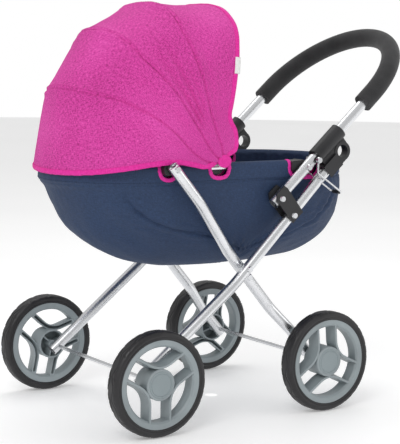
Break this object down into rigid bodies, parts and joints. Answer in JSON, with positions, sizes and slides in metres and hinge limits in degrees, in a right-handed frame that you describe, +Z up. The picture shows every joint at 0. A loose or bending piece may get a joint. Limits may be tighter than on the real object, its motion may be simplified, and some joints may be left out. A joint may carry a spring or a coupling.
{
  "type": "doll stroller",
  "caption": "Folding doll stroller with crossed tube legs, arched foam-grip handle, hanging fabric basket, folding bow hood and spoked wheels with moulded tyres.",
  "frame": {"origin": "on the floor, under the middle of the whole stroller's box", "axes": "+Z up, +X towards the handle, -X towards the hood, +Y to the pusher's right"},
  "size_m": [0.6199, 0.355, 0.6034],
  "materials": {
    "tyre": "satin black moulded tyre",
    "wheel_plastic": "satin grey moulded plastic",
    "cap_plastic": "satin grey moulded plastic",
    "grip_foam": "soft charcoal foam",
    "bright_tube": "bright drawn tube",
    "bright_steel": "zinc-plated steel",
    "black_plastic": "satin black moulded plastic",
    "bow_plastic": "flat plastic strip, hidden in the hood",
    "hood_fabric": "magenta melange woven fabric",
    "white_tag": "plain woven tag",
    "basket_fabric": "navy woven fabric",
    "board": "stiff board"
  },
  "bodies": {
    "chassis": {"bracket_plates_left": "black_plastic", "bracket_plates_right": "black_plastic", "crossing_rivets": "bright_steel", "crossing_spacers": "bright_steel", "front_axle": "bright_steel", "front_axle_washers": "bright_steel", "front_leg_left": "bright_tube", "front_leg_right": "bright_tube", "handle_pivot_rivets": "bright_steel", "plate_rivets": "bright_steel"},
    "rear_legs": {"basket_pivot_rivets": "bright_steel", "rear_axle": "bright_steel", "rear_axle_washers": "bright_steel", "rear_leg_left": "bright_tube", "rear_leg_right": "bright_tube", "stop_rivets": "bright_steel"},
    "basket": {"basket_board": "board", "basket_fabric": "basket_fabric", "basket_ring": "bright_tube", "front_ring_connectors": "black_plastic", "hood_back_panel": "hood_fabric", "hood_clips": "black_plastic", "hood_pins": "bright_steel", "rear_ring_connectors": "black_plastic"},
    "handle": {"handle_grip": "grip_foam", "handle_tube": "bright_tube", "ring_pivot_rivets": "bright_steel"},
    "lock_left": {"catch_studs_left": "bright_steel", "lock_slider_left": "black_plastic"},
    "lock_right": {"catch_studs_right": "bright_steel", "lock_slider_right": "black_plastic"},
    "catch_left": {"catch_sleeve_left": "black_plastic", "catch_wire_left": "bright_steel"},
    "catch_right": {"catch_sleeve_right": "black_plastic", "catch_wire_right": "bright_steel"},
    "hood_rear_bow": {"hood_bow_1": "bow_plastic"},
    "hood_second_bow": {"hood_bow_2": "bow_plastic", "hood_panel_2": "hood_fabric"},
    "hood_third_bow": {"hood_bow_3": "bow_plastic", "hood_panel_3": "hood_fabric"},
    "hood_front_bow": {"hood_bow_4": "bow_plastic", "hood_panel_4": "hood_fabric", "hood_tag": "white_tag"},
    "wheel_front_left": {"hub_cap_front_left": "cap_plastic", "tyre_front_left": "tyre", "wheel_rim_front_left": "wheel_plastic"},
    "wheel_front_right": {"hub_cap_front_right": "cap_plastic", "tyre_front_right": "tyre", "wheel_rim_front_right": "wheel_plastic"},
    "wheel_rear_left": {"hub_cap_rear_left": "cap_plastic", "tyre_rear_left": "tyre", "wheel_rim_rear_left": "wheel_plastic"},
    "wheel_rear_right": {"hub_cap_rear_right": "cap_plastic", "tyre_rear_right": "tyre", "wheel_rim_rear_right": "wheel_plastic"}
  },
  "joints": [
    {"name": "frame_fold", "type": "hinge", "parent": "chassis", "child": "rear_legs", "pos_m": [-0.02841, 0, 0.21833], "axis": [0, -1, 0], "range_deg": [0, 40]},
    {"name": "basket_tilt", "type": "hinge", "parent": "rear_legs", "child": "basket", "pos_m": [-0.1591, 0, 0.369], "axis": [0, -1, 0], "range_deg": [-8.86, 0]},
    {"name": "handle_swing", "type": "hinge", "parent": "chassis", "child": "handle", "pos_m": [0.0259, 0, 0.3195], "axis": [0, -1, 0], "range_deg": [0, 93.26]},
    {"name": "lock_slide_left", "type": "slide", "parent": "handle", "child": "lock_left", "axis": [0.749, 0, 0.6626], "range_m": [0, 0.028]},
    {"name": "catch_swing_left", "type": "hinge", "parent": "lock_left", "child": "catch_left", "pos_m": [0.08985, -0.129, 0.37474], "axis": [0, -1, 0], "range_deg": [0, 50]},
    {"name": "lock_slide_right", "type": "slide", "parent": "handle", "child": "lock_right", "axis": [0.749, 0, 0.6626], "range_m": [0, 0.028]},
    {"name": "catch_swing_right", "type": "hinge", "parent": "lock_right", "child": "catch_right", "pos_m": [0.08985, 0.129, 0.37474], "axis": [0, -1, 0], "range_deg": [0, 50]},
    {"name": "hood_fold", "type": "hinge", "parent": "basket", "child": "hood_rear_bow", "pos_m": [-0.0711, 0, 0.378], "axis": [0, -1, 0], "range_deg": [0, 14]},
    {"name": "second_bow_fold", "type": "hinge", "parent": "hood_rear_bow", "child": "hood_second_bow", "pos_m": [-0.0711, 0, 0.378], "axis": [0, -1, 0], "range_deg": [0, 11.38]},
    {"name": "third_bow_fold", "type": "hinge", "parent": "hood_second_bow", "child": "hood_third_bow", "pos_m": [-0.0711, 0, 0.378], "axis": [0, -1, 0], "range_deg": [0, 14.88]},
    {"name": "front_bow_fold", "type": "hinge", "parent": "hood_third_bow", "child": "hood_front_bow", "pos_m": [-0.0711, 0, 0.378], "axis": [0, -1, 0], "range_deg": [0, 14.88]},
    {"name": "wheel_spin_front_left", "type": "hinge", "parent": "chassis", "child": "wheel_front_left", "pos_m": [-0.2041, -0.1655, 0.075], "axis": [0, 1, 0], "continuous": true},
    {"name": "wheel_spin_front_right", "type": "hinge", "parent": "chassis", "child": "wheel_front_right", "pos_m": [-0.2041, 0.1655, 0.075], "axis": [0, 1, 0], "continuous": true},
    {"name": "wheel_spin_rear_left", "type": "hinge", "parent": "rear_legs", "child": "wheel_rear_left", "pos_m": [0.0959, -0.1595, 0.075], "axis": [0, 1, 0], "continuous": true},
    {"name": "wheel_spin_rear_right", "type": "hinge", "parent": "rear_legs", "child": "wheel_rear_right", "pos_m": [0.0959, 0.1595, 0.075], "axis": [0, 1, 0], "continuous": true}
  ],
  "couplings": [
    {"joint": "handle_swing", "follows": "frame_fold", "ratio": 2.3312},
    {"joint": "basket_tilt", "follows": "frame_fold", "ratio": -0.22122},
    {"joint": "second_bow_fold", "follows": "hood_fold", "ratio": 0.8125},
    {"joint": "third_bow_fold", "follows": "hood_fold", "ratio": 1.0625},
    {"joint": "front_bow_fold", "follows": "hood_fold", "ratio": 1.0625}
  ]
}
